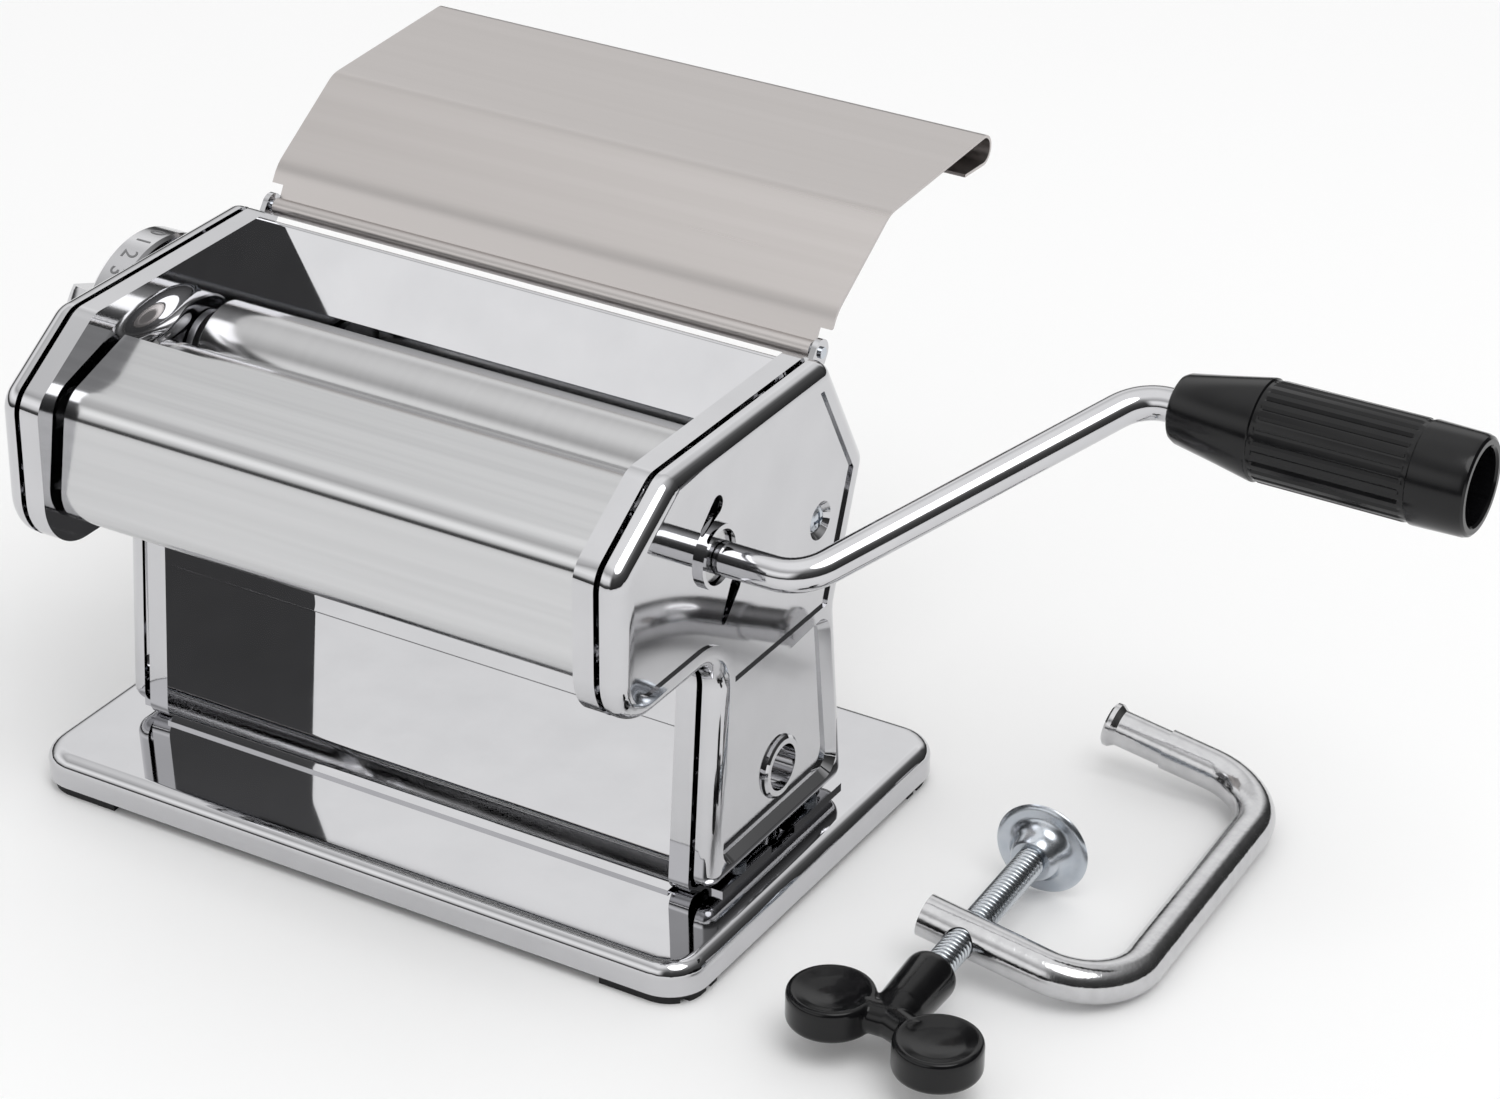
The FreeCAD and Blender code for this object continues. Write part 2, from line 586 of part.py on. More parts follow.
pieces["knob_spring"] = spring

# Collar round the crank hole and sleeve of the clamp hole
pieces["drive_collar"] = tube(cover_inside, cover_face + 0.8, front_axis_y, roller_axis_z,
                              collar_radius, front_journal_radius + 0.5).fuse(
    tube(cover_inside - 1.2, cover_inside, front_axis_y, roller_axis_z,
         collar_radius + 1.8, front_journal_radius + 0.5)).removeSplitter()
sleeve_outer = clamp_hole_radius + 1.4
sleeve = rod(inner_face, leg_face + 1.1, clamp_hole_y, clamp_hole_z, sleeve_outer)
sleeve = sleeve.fuse(turned([
    (leg_face, 0), (leg_face, sleeve_outer + 0.9),
    (leg_face + 0.8, sleeve_outer + 0.7), (leg_face + 1.3, sleeve_outer), (leg_face + 1.3, 0)],
    clamp_hole_y, clamp_hole_z))
sleeve = sleeve.fuse(rod(plate_outer, plate_outer + 1.2, clamp_hole_y, clamp_hole_z, sleeve_outer + 1.5))
pieces["clamp_socket"] = sleeve.cut(rod(0, 200, clamp_hole_y, clamp_hole_z, clamp_hole_radius)).removeSplitter()

# Scrapers
scrape = roller_radius + 0.3
blade_half = roller_end - 3.0


def rim_point(centre_y, angle_deg, radius):
    angle = math.radians(angle_deg)
    return (centre_y + radius * math.cos(angle), roller_axis_z + radius * math.sin(angle))


tip = rim_point(front_axis_y, 230, scrape)
blade = along_x(side_face([
    (tip[0], tip[1], 0), (tip[0] - 2.0, tip[1] + 0.1, 0), (front_bar_y, front_bar_z - 4.2, 0),
    (front_bar_y, front_bar_z - 6.0, 0), (tip[0] - 1.2, tip[1] - 1.4, 0)]), -blade_half, blade_half)
sleeve_tube = tube(-blade_half, blade_half, front_bar_y, front_bar_z, tie_bar_radius + 1.6, tie_bar_radius)
pieces["front_scraper"] = blade.cut(rod(-100, 100, front_bar_y, front_bar_z, tie_bar_radius)).fuse(sleeve_tube).removeSplitter()

link_start = roller_end + 0.5
link_end = inner_face - 0.9
loop_centre = (rear_bar_y - eccentricity, rear_bar_z)
hanger_link = link((rear_axis_y, roller_axis_z), 9.5, loop_centre, 8.0, link_start, link_end)
hanger_link = hanger_link.cut([
    rod(0, 100, rear_axis_y, roller_axis_z, rear_hub_radius + running_clearance),
    rod(0, 100, loop_centre[0], loop_centre[1], tie_bar_radius + eccentricity + 0.4)])
pieces["scraper_brackets"] = group([hanger_link, mirrored(hanger_link)])
tip = rim_point(rear_axis_y, -50, scrape)
pieces["rear_scraper"] = along_x(side_face([
    (tip[0], tip[1], 0), (tip[0] + 1.0, tip[1] - 1.7, 0), (tip[0] + 5.6, tip[1] - 4.1, 0),
    (tip[0] + 6.4, tip[1] - 2.8, 0), (tip[0] + 1.8, tip[1] + 0.2, 0)]), -link_start, link_start)

# Feed tray on its hinge rod
pieces["tray_hinge_rod"] = rod(-flange_end - 0.6, flange_end + 0.6, tray_hinge[0], tray_hinge[1], hinge_rod_radius)
hem_top = tray_z + 28.0
tray = bent_sheet([
    (tray_y + 71.0, hem_top - 8.0, 0),
    (tray_y + 85.0, hem_top - 8.6, 4.0),
    (tray_y + 85.0, hem_top, 4.0),
    (tray_y + 31.5, tray_z + 25.5, 9.0),
    (tray_y + 5.4, tray_z + 9.0, 12.0),
    (tray_y + 1.2, tray_z + 1.7, 0),
], sheet, -tray_half_width, tray_half_width)
notch = block(lug_start - 1, tray_half_width + 1, tray_y - 6, tray_y + 6, tray_z - 4, tray_z + 5)
tray = tray.cut([notch, mirrored(notch)])
knuckle_half = lug_start - 1
knuckle = tube(-knuckle_half, knuckle_half, tray_hinge[0], tray_hinge[1], hinge_rod_radius + 0.9, hinge_rod_radius + 0.05)
tray = tray.fuse(knuckle).cut(rod(-far_out, far_out, tray_hinge[0], tray_hinge[1], hinge_rod_radius + 0.05))
pieces["feed_tray"] = tray.removeSplitter()

# Crank and grip
crank_tip = socket_floor + 1.0
low = vec(crank_corner_x, front_axis_y, roller_axis_z)
high = low + vec(crank_reach_x, crank_reach_y, crank_reach_z)
rod_end_x = grip_nose_x + grip_length - 16.5
path = rounded_wire([
    (vec(crank_tip, front_axis_y, roller_axis_z), 0), (low, crank_bend_radius),
    (high, crank_bend_radius), (vec(rod_end_x, high.y, high.z), 0)], closed=False)
section = Part.Wire(Part.makeCircle(crank_rod_radius, vec(crank_tip, front_axis_y, roller_axis_z), AXIS_X))
crank = path.makePipeShell([section], True, False)
crank = crank.cut(block(crank_tip - 1, socket_round + 0.5, -200, 200, roller_axis_z + 3.3, 200))
washer_x = grip_nose_x + grip_length - 18.7
crank = crank.cut(tube(washer_x, washer_x + 0.8, high.y, high.z, 6.0, crank_rod_radius - 0.6))
pieces["crank_rod"] = crank
pieces["grip_washer"] = tube(washer_x, washer_x + 0.8, high.y, high.z, 7.5, crank_rod_radius - 0.6)

grip_end_x = grip_nose_x + grip_length
shoulder_x = grip_nose_x + 22.5
ring_x = grip_end_x - 14.0
bore_floor = grip_end_x - 19.0
grip = turned([
    (grip_nose_x, 0), (grip_nose_x, grip_radius - 5.6), (grip_nose_x + 1.6, grip_radius - 3.9),
    (shoulder_x, grip_radius), (shoulder_x + 0.8, grip_radius - 0.3), (ring_x - 0.8, grip_radius - 0.1),
    (ring_x, grip_radius), (grip_end_x - 1.2, grip_radius - 0.2), (grip_end_x, grip_radius - 1.2), (grip_end_x, 0)],
    high.y, high.z)
grip = grip.cut([
    rod(bore_floor, grip_end_x + 1, high.y, high.z, grip_bore_radius),
    rod(grip_nose_x - 1, bore_floor + 1, high.y, high.z, crank_rod_radius + 0.06)])
for i in range(12):
    angle = math.radians(30 * i)
    reach = grip_radius + 1.0
    grip = grip.cut(rod(shoulder_x + 1, ring_x - 1, high.y + reach * math.cos(angle), high.z + reach * math.sin(angle), 1.7))
pieces["crank_grip"] = grip

# Clamp, drawn flat with its leg along Y and then laid on the table
clamp_place = FreeCAD.Placement(
    vec(clamp_corner_x, clamp_corner_y, clamp_rod_radius + 0.2),
    FreeCAD.Rotation(AXIS_Z, clamp_turn_deg).multiply(FreeCAD.Rotation(AXIS_Y, clamp_tilt_deg)))


def laid(shape):
    placed = shape.copy()
    placed.Placement = clamp_place.multiply(placed.Placement)
    return placed


neck = -clamp_upper_arm + 17.0
path = rounded_wire([
    (vec(neck, clamp_leg, 0), 0), (vec(0, clamp_leg, 0), clamp_bend_radius),
    (vec(0, 0, 0), clamp_bend_radius), (vec(-clamp_lower_arm, 0, 0), 0)], closed=False)
section = Part.Wire(Part.makeCircle(clamp_rod_radius, vec(neck, clamp_leg, 0), AXIS_X))
clamp_rod = path.makePipeShell([section], True, False)
spigot = turned([
    (-clamp_upper_arm, 0), (-clamp_upper_arm, 5.4), (-clamp_upper_arm + 0.6, 6.0), (-clamp_upper_arm + 1.8, 6.0),
    (-clamp_upper_arm + 3.4, 4.9), (neck, 4.9), (neck, 0)], clamp_leg, 0)
clamp_rod = clamp_rod.fuse(spigot).removeSplitter()
screw_hole = Part.makeCylinder(clamp_screw_radius + 0.3, 40, vec(-clamp_screw_inset, -20, 0), AXIS_Y)
pieces["clamp_frame"] = laid(clamp_rod.cut(screw_hole))


def turned_on_screw(profile):
    """Solid turned about the clamp screw from (distance along it, radius) points."""
    solid = turned(profile)
    solid.rotate(ORIGIN, AXIS_Z, 90)
    solid.translate(vec(-clamp_screw_inset, 0, 0))
    return solid


pad_face = clamp_pad_reach + 2.0
pad = turned_on_screw([
    (pad_face, 0), (pad_face, clamp_pad_radius - 0.4), (pad_face - 0.4, clamp_pad_radius),
    (pad_face - 1.6, clamp_pad_radius), (pad_face - 1.6, 8.0), (pad_face - 5.0, 6.6), (pad_face - 8.0, 5.4), (pad_face - 8.0, 0)])
tip_socket = turned_on_screw([(pad_face - 9.0, 0), (pad_face - 9.0, 4.0), (pad_face - 2.6, 4.0), (pad_face - 2.6, 0)])
pieces["clamp_pad"] = laid(pad.cut(tip_socket))
screw_low = -36.0
pieces["clamp_screw"] = laid(turned_on_screw([
    (screw_low, 0), (screw_low, clamp_screw_radius), (pad_face - 3.7, clamp_screw_radius),
    (pad_face - 2.9, clamp_screw_radius - 0.8), (pad_face - 2.9, 0)]))
lobe_reach = 15.5
lobe_drop = -45.0
wing = turned_on_screw([
    (-19.0, 0), (-19.0, 6.0), (-20.0, 6.8), (-36.0, 6.8), (-41.0, 5.0), (-41.0, 0)])
for side in (-1, 1):
    lobe_y = lobe_drop + 3.0 * -side
    lobe = turned([(-4.2, 0), (-4.2, 7.0), (-2.2, 11.0), (2.2, 11.0), (4.2, 7.0), (3.2, 0)])
    lobe.rotate(ORIGIN, AXIS_Y, -90)
    lobe.translate(vec(-clamp_screw_inset + side * lobe_reach, lobe_y, 0))
    arm = Part.makeCylinder(4.0, 16.0, vec(-clamp_screw_inset, -33.0, 0), vec(side * lobe_reach, lobe_y + 33.0, 0))
    wing = wing.fuse([arm, lobe])
wing = wing.cut(turned_on_screw([(-18.0, 0), (-18.0, clamp_screw_radius), (screw_low, clamp_screw_radius), (screw_low, 0)]))
wing = wing.removeSplitter()
wing.rotate(vec(-clamp_screw_inset, 0, 0), AXIS_Y, -clamp_tilt_deg)
pieces["clamp_wing_knob"] = laid(wing)

os.makedirs("parts", exist_ok=True)
for name, shape in pieces.items():
    shape.exportStep("parts/" + name + ".step")
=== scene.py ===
"""Dressed model of a hand-cranked pasta roller and its loose table clamp, on a pale studio floor."""

import json
import logging
import math
from dataclasses import dataclass
from enum import Enum
from typing import Iterable, Sequence

import bpy
from mathutils import Matrix, Vector

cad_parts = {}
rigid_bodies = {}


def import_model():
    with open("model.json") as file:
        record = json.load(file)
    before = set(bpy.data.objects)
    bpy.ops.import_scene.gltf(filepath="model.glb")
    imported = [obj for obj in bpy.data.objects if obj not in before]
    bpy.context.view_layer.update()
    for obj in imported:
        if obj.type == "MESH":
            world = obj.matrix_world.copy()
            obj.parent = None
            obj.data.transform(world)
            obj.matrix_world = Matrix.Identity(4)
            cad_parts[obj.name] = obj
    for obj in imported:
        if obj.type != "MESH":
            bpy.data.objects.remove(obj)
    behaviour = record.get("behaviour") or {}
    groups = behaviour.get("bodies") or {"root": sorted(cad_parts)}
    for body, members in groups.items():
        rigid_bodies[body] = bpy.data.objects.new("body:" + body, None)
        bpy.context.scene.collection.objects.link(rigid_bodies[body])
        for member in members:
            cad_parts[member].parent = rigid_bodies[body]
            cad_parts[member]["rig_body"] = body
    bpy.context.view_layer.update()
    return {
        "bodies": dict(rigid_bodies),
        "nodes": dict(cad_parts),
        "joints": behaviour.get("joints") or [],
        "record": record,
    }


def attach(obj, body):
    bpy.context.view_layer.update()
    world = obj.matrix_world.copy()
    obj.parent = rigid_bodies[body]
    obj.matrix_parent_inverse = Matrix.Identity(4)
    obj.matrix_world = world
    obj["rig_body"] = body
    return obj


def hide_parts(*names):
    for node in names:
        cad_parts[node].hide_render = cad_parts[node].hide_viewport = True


LOG = logging.getLogger("pasta_roller")
MM = 0.001
MERGE_TURNED = 1e-7
MERGE_NODE = 1e-6

Colour = tuple[float, float, float]
Station = tuple[float, float]


class Grain(Enum):
    """Direction in which a finish is drawn out."""

    NONE = (1.0, 1.0, 1.0)
    ALONG_ROLLERS = (0.012, 1.0, 1.0)
    ROUND_ROLLERS = (1.0, 0.01, 0.01)


@dataclass(frozen=True)
class Finish:
    """Surface finish that builds its own procedural material.

    Attributes:
        name: Name of the finish.
        slot: Material slot that the finish stands for; not used.
        colour: Colour of the light parts of the grain.
        dark: Colour of the dark parts of the grain.
        metallic: 1 for metal, 0 for plastic and rubber.
        smooth: Lowest roughness.
        rough: Highest roughness.
        grain: Direction in which the grain is drawn out.
        scale: Fineness of the grain.
        bump: Strength of the fine relief.
        bump_scale: Fineness of the relief.
        specular: Strength of the reflection on plastic.
    """

    name: str
    slot: str
    colour: Colour
    dark: Colour
    metallic: float
    smooth: float
    rough: float
    grain: Grain = Grain.NONE
    scale: float = 60.0
    bump: float = 0.0
    bump_scale: float = 300.0
    specular: float = 0.5

    GRAIN_DETAIL = 6.0
    RELIEF_DETAIL = 4.0
    RELIEF_DEPTH = 0.0002
    TINT_REACH = (0.30, 0.70)
    SHEEN_REACH = (0.25, 0.75)

    def material(self) -> bpy.types.Material:
        """Return the material of this finish, building it at its first use.

        Returns:
            The node material.
        """
        title = "dressed_" + self.name
        known = bpy.data.materials.get(title)
        if known is not None:
            return known
        made = bpy.data.materials.new(title)
        made.use_nodes = True
        tree = made.node_tree
        shader = tree.nodes["Principled BSDF"]
        shader.inputs["Metallic"].default_value = self.metallic
        shader.inputs["Specular IOR Level"].default_value = self.specular
        place = tree.nodes.new("ShaderNodeTexCoord")
        stretch = tree.nodes.new("ShaderNodeMapping")
        stretch.inputs["Scale"].default_value = self.grain.value
        tree.links.new(place.outputs["Object"], stretch.inputs["Vector"])
        cloud = self.noise(tree, stretch, self.scale, self.GRAIN_DETAIL)
        self.tint(tree, cloud, shader)
        self.sheen(tree, cloud, shader)
        if self.bump > 0.0:
            grit = self.noise(tree, stretch, self.bump_scale, self.RELIEF_DETAIL)
            self.relief(tree, grit, shader)
        return made

    @staticmethod
    def noise(
            tree: bpy.types.NodeTree, stretch: bpy.types.Node, scale: float, detail: float) -> bpy.types.Node:
        """Add a noise texture over the stretched object coordinates.

        Args:
            tree: Node tree of the material.
            stretch: Mapping node that draws the coordinates out.
            scale: Fineness of the noise.
            detail: Levels of finer noise.

        Returns:
            The noise node.
        """
        cloud = tree.nodes.new("ShaderNodeTexNoise")
        cloud.inputs["Scale"].default_value = scale
        cloud.inputs["Detail"].default_value = detail
        tree.links.new(stretch.outputs["Vector"], cloud.inputs["Vector"])
        return cloud

    def tint(self, tree: bpy.types.NodeTree, cloud: bpy.types.Node, shader: bpy.types.Node) -> None:
        """Colour the shader between the dark and the light tone of the grain."""
        ramp = tree.nodes.new("ShaderNodeValToRGB")
        for stop, where, tone in zip(ramp.color_ramp.elements, self.TINT_REACH, (self.dark, self.colour)):
            stop.position = where
            stop.color = (*tone, 1.0)
        tree.links.new(cloud.outputs["Fac"], ramp.inputs["Fac"])
        tree.links.new(ramp.outputs["Color"], shader.inputs["Base Color"])

    def sheen(self, tree: bpy.types.NodeTree, cloud: bpy.types.Node, shader: bpy.types.Node) -> None:
        """Vary the shader's roughness with the grain."""
        span = tree.nodes.new("ShaderNodeMapRange")
        span.inputs["From Min"].default_value = self.SHEEN_REACH[0]
        span.inputs["From Max"].default_value = self.SHEEN_REACH[1]
        span.inputs["To Min"].default_value = self.smooth
        span.inputs["To Max"].default_value = self.rough
        tree.links.new(cloud.outputs["Fac"], span.inputs["Value"])
        tree.links.new(span.outputs["Result"], shader.inputs["Roughness"])

    def relief(self, tree: bpy.types.NodeTree, grit: bpy.types.Node, shader: bpy.types.Node) -> None:
        """Roughen the surface with a fine relief."""
        bump = tree.nodes.new("ShaderNodeBump")
        bump.inputs["Strength"].default_value = self.bump
        bump.inputs["Distance"].default_value = self.RELIEF_DEPTH
        tree.links.new(grit.outputs["Fac"], bump.inputs["Height"])
        tree.links.new(bump.outputs["Normal"], shader.inputs["Normal"])


CHROME = Finish(
    "mirror_chrome", "chrome_sheet", (0.60, 0.60, 0.615), (0.565, 0.565, 0.58),
    metallic=1.0, smooth=0.03, rough=0.06)
ROD_CHROME = Finish(
    "rod_chrome", "chrome_rod", (0.62, 0.62, 0.635), (0.56, 0.56, 0.575),
    metallic=1.0, smooth=0.05, rough=0.10)
CLAMP_CHROME = Finish(
    "clamp_chrome", "chrome_rod", (0.60, 0.60, 0.61), (0.53, 0.53, 0.54),
    metallic=1.0, smooth=0.08, rough=0.15, scale=300.0, bump=0.18, bump_scale=900.0)
KNOB_CHROME = Finish(
    "knob_chrome", "chrome_knob", (0.62, 0.62, 0.635), (0.58, 0.58, 0.595),
    metallic=1.0, smooth=0.08, rough=0.14)
BRUSHED = Finish(
    "brushed_front", "brushed_front", (0.625, 0.627, 0.634), (0.558, 0.56, 0.567),
    metallic=1.0, smooth=0.10, rough=0.17, grain=Grain.ALONG_ROLLERS, scale=420.0)
TRAY = Finish(
    "satin_tray", "satin_tray", (0.555, 0.526, 0.514), (0.515, 0.487, 0.474),
    metallic=1.0, smooth=0.27, rough=0.34, grain=Grain.ALONG_ROLLERS, scale=260.0)
ROLLER = Finish(
    "turned_roller", "roller_metal", (0.545, 0.545, 0.55), (0.53, 0.53, 0.535),
    metallic=1.0, smooth=0.15, rough=0.18, grain=Grain.ROUND_ROLLERS, scale=500.0)
ZINC = Finish(
    "bright_zinc", "zinc", (0.60, 0.63, 0.67), (0.48, 0.52, 0.57),
    metallic=1.0, smooth=0.16, rough=0.30, scale=240.0, bump=0.1)
THREAD = Finish(
    "bright_thread", "zinc", (0.60, 0.63, 0.66), (0.54, 0.57, 0.60),
    metallic=1.0, smooth=0.10, rough=0.16, scale=240.0)
GEAR = Finish(
    "machined_steel", "gear_steel", (0.54, 0.54, 0.55), (0.44, 0.44, 0.45),
    metallic=1.0, smooth=0.28, rough=0.42, scale=300.0)
BUSH = Finish(
    "natural_plastic", "bush_plastic", (0.86, 0.86, 0.83), (0.80, 0.80, 0.77),
    metallic=0.0, smooth=0.45, rough=0.6)
BLACK = Finish(
    "black_plastic", "black_plastic", (0.005, 0.005, 0.0055), (0.003, 0.003, 0.0035),
    metallic=0.0, smooth=0.13, rough=0.20, scale=180.0, bump=0.03, bump_scale=900.0, specular=0.32)
# Dark grey painted shade, standing in for the engraved numbers on the chrome knob.
ENGRAVING_SHADE = Finish(
    "painted_engraving_shade", "chrome_knob", (0.17, 0.17, 0.175), (0.14, 0.14, 0.145),
    metallic=0.0, smooth=0.5, rough=0.65)
RUBBER = Finish(
    "foot_rubber", "foot_rubber", (0.012, 0.012, 0.013), (0.008, 0.008, 0.009),
    metallic=0.0, smooth=0.7, rough=0.85, scale=400.0)

SHEET_FINISHES = (CHROME, BRUSHED, TRAY)
NODE_FINISHES: dict[Finish, tuple[str, ...]] = {
    CHROME: ("base_plate", "left_inner_plate", "right_inner_plate", "left_cover", "right_cover",
             "floor_plate", "rear_hopper_wall", "rear_cover", "drive_collar", "clamp_socket"),
    BRUSHED: ("front_cover",),
    TRAY: ("feed_tray",),
    ROLLER: ("front_roller", "rear_roller"),
    ROD_CHROME: ("crank_rod",),
    CLAMP_CHROME: ("clamp_frame",),
    KNOB_CHROME: ("adjuster_knob",),
    ZINC: ("cover_screws", "tie_bar_screws", "screw_posts", "base_rivets", "index_pin",
           "knob_screw", "knob_spring", "axle_clip", "grip_washer", "tray_hinge_rod", "tie_bars"),
    GEAR: ("front_gear", "rear_gear", "adjuster_axle", "gear_bracket", "scraper_brackets"),
    BUSH: ("front_roller_bushes", "axle_bush", "rear_roller_bushes", "front_scraper", "rear_scraper"),
    RUBBER: ("base_feet",),
}


class Bench:
    """Small set of hand tools shared by all pieces."""

    @staticmethod
    def clear() -> None:
        """Leave edit mode and deselect everything."""
        if bpy.context.object is not None and bpy.context.object.mode != "OBJECT":
            bpy.ops.object.mode_set(mode="OBJECT")
        bpy.ops.object.select_all(action="DESELECT")

    @staticmethod
    def pick(piece: bpy.types.Object) -> None:
        """Make one object the only selected and active one."""
        Bench.clear()
        piece.select_set(True)
        bpy.context.view_layer.objects.active = piece

    @staticmethod
    def settle(piece: bpy.types.Object) -> None:
        """Apply an object's place, turn and size to its mesh."""
        Bench.pick(piece)
        bpy.ops.object.transform_apply(location=True, rotation=True, scale=True)

    @staticmethod
    def apply(piece: bpy.types.Object, kind: str, **settings: object) -> None:
        """Add a modifier with the given settings and apply it.

        Args:
            piece: Object to change.
            kind: Modifier type.
            settings: Values set on the modifier.
        """
        Bench.pick(piece)
        tool = piece.modifiers.new("tool", kind)
        for key, value in settings.items():
            setattr(tool, key, value)
        bpy.ops.object.modifier_apply(modifier=tool.name)

    @staticmethod
    def smooth(piece: bpy.types.Object, degrees: float) -> None:
        """Shade smooth, keeping edges sharper than the angle."""
        Bench.pick(piece)
        bpy.ops.object.shade_smooth_by_angle(angle=math.radians(degrees))

    @staticmethod
    def turned(name: str, stations: Sequence[Station], columns: int) -> bpy.types.Object:
        """Turn a closed piece about Z by extruding a circle from station to station.

        Args:
            name: Name of the piece.
            stations: Place along the axis and radius of each station, in millimetres.
            columns: Number of sides.

        Returns:
            The closed piece, with its axis on Z.
        """
        Bench.clear()
        first, radius = stations[0]
        bpy.ops.mesh.primitive_circle_add(
            vertices=columns, radius=radius * MM, fill_type="NOTHING", location=(0.0, 0.0, first * MM))
        piece = bpy.context.object
        piece.name = name
        Bench.settle(piece)
        bpy.ops.object.mode_set(mode="EDIT")
        bpy.ops.mesh.select_all(action="SELECT")
        for place, wide in stations[1:]:
            rise = (0.0, 0.0, (place - first) * MM)
            bpy.ops.mesh.extrude_edges_move(TRANSFORM_OT_translate={"value": rise})
            ratio = wide / radius
            bpy.ops.transform.resize(value=(ratio, ratio, 1.0), center_override=(0.0, 0.0, place * MM))
            first, radius = place, wide
        bpy.ops.object.mode_set(mode="OBJECT")
        Bench.cap_holes(piece)
        return piece

    @staticmethod
    def cap_holes(piece: bpy.types.Object) -> None:
        """Close the open ends of a piece and turn its faces outwards."""
        Bench.pick(piece)
        bpy.ops.object.mode_set(mode="EDIT")
        bpy.ops.mesh.select_all(action="SELECT")
        bpy.ops.mesh.remove_doubles(threshold=MERGE_TURNED)
        bpy.ops.mesh.fill_holes(sides=0)
        bpy.ops.mesh.select_all(action="SELECT")
        bpy.ops.mesh.normals_make_consistent(inside=False)
        bpy.ops.object.mode_set(mode="OBJECT")

    @staticmethod
    def put(piece: bpy.types.Object, place: Matrix) -> None:
        """Move a piece modelled at the origin to its place and apply that to its mesh."""
        piece.matrix_world = place
        Bench.settle(piece)

    @staticmethod
    def join(first: bpy.types.Object, *others: bpy.types.Object) -> bpy.types.Object:
        """Join several objects into the first one.

        Returns:
            The joined object.
        """
        Bench.clear()
        for other in others:
            other.select_set(True)
        first.select_set(True)
        bpy.context.view_layer.objects.active = first
        bpy.ops.object.join()
        return first

    @staticmethod
    def dress(piece: bpy.types.Object, finish: Finish, body: str, *nodes: str) -> None:
        """Give a piece its finish and body, and hide the nodes it stands for.

        Args:
            piece: Finished object.
            finish: Surface finish.
            body: Body the piece moves with.
            nodes: CAD nodes that the piece replaces.
        """
        piece.data.materials.clear()
        piece.data.materials.append(finish.material())
        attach(piece, body)
        if nodes:
            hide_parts(*nodes)
        LOG.info("%s rides on %s", piece.name, body)


@dataclass
class PolishedNodes:
    """Copies of CAD nodes with merged, smoothly shaded meshes.

    Flat sheets also take their normals from their large faces, so that they mirror without smears.
    """

    frame: dict
    angle: float = 30.0

    def build(self, finish: Finish, names: Iterable[str]) -> None:
        """Copy each node, merge its triangles and dress it.

        Args:
            finish: Surface finish of the nodes.
            names: CAD nodes to copy.
        """
        for name in names:
            node = self.frame["nodes"][name]
            Bench.pick(node)
            bpy.ops.object.duplicate()
            copy = bpy.context.object
            copy.name = name + "_surface"
            for key in [key for key in copy.keys() if key.startswith("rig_")]:
                del copy[key]
            copy.parent = None
            bpy.ops.object.mode_set(mode="EDIT")
            bpy.ops.mesh.select_all(action="SELECT")
            bpy.ops.mesh.remove_doubles(threshold=MERGE_NODE)
            bpy.ops.object.mode_set(mode="OBJECT")
            if copy.data.has_custom_normals:
                bpy.ops.mesh.customdata_custom_splitnormals_clear()
            Bench.smooth(copy, self.angle)
            if finish in SHEET_FINISHES:
                Bench.apply(copy, "WEIGHTED_NORMAL", mode="FACE_AREA", weight=100, keep_sharp=True)
            Bench.dress(copy, finish, node["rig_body"], name)


